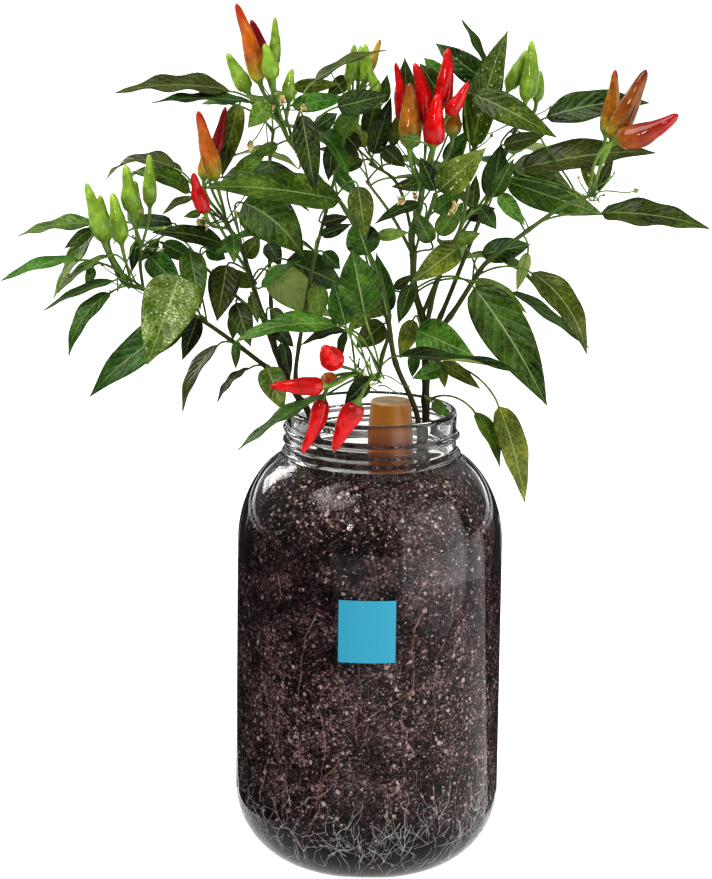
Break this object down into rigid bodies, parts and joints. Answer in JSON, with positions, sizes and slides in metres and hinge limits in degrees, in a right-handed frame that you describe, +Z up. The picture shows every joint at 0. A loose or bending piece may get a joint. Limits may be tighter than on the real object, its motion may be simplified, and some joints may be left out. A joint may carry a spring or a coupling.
{
  "type": "potted chilli pepper plant",
  "caption": "Chilli pepper plant with leafy stems and bunches of upright pods, growing in a soil-filled wide-mouth glass jar with an amber plug in the soil.",
  "frame": {"origin": "middle of the jar's flat base, on the surface that it stands on", "axes": "+Z up along the jar's axis, -Y to the front, where the blank label is, +X to the right seen from the front"},
  "size_m": [0.3277, 0.2205, 0.4204],
  "materials": {
    "glass": "clear and glossy",
    "soil": "rough and matt, with pale specks",
    "plug": "smooth amber, slightly see-through",
    "label": "plain, satin",
    "foliage": "glossy leaves, satin stems",
    "green": "smooth, glossy skin",
    "yellow": "smooth, glossy skin",
    "amber": "smooth, glossy skin",
    "olive": "smooth, glossy skin",
    "orange": "smooth, glossy skin",
    "rust": "smooth, glossy skin",
    "orange_red": "smooth, glossy skin",
    "red": "smooth, glossy skin",
    "dark_red": "smooth, glossy skin"
  },
  "bodies": {
    "root": {"amber_plug": "plug", "blank_label": "label", "glass_jar": "glass", "left_leafy_stem": "foliage", "left_pod_01": "green", "left_pod_02": "green", "left_pod_03": "green", "left_pod_04": "green", "left_pod_05": "green", "left_pod_06": "green", "left_pod_07": "orange", "left_pod_08": "dark_red", "left_pod_09": "amber", "left_pod_10": "red", "left_pod_11": "green", "left_pod_12": "green", "left_pod_13": "green", "left_pod_14": "yellow", "left_pod_15": "green", "middle_leafy_stem": "foliage", "middle_pod_01": "orange_red", "middle_pod_02": "dark_red", "middle_pod_03": "green", "middle_pod_04": "green", "middle_pod_05": "green", "middle_pod_06": "green", "middle_pod_07": "red", "middle_pod_08": "red", "middle_pod_09": "red", "middle_pod_10": "red", "middle_pod_11": "orange", "right_leafy_stem": "foliage", "right_pod_01": "olive", "right_pod_02": "rust", "right_pod_03": "orange_red", "right_pod_04": "red", "right_pod_05": "red", "right_pod_06": "red", "right_pod_07": "red", "right_pod_08": "red", "right_pod_09": "olive", "right_pod_10": "olive", "right_pod_11": "green", "right_pod_12": "green", "right_pod_13": "green", "soil": "soil"}
  },
  "joints": []
}
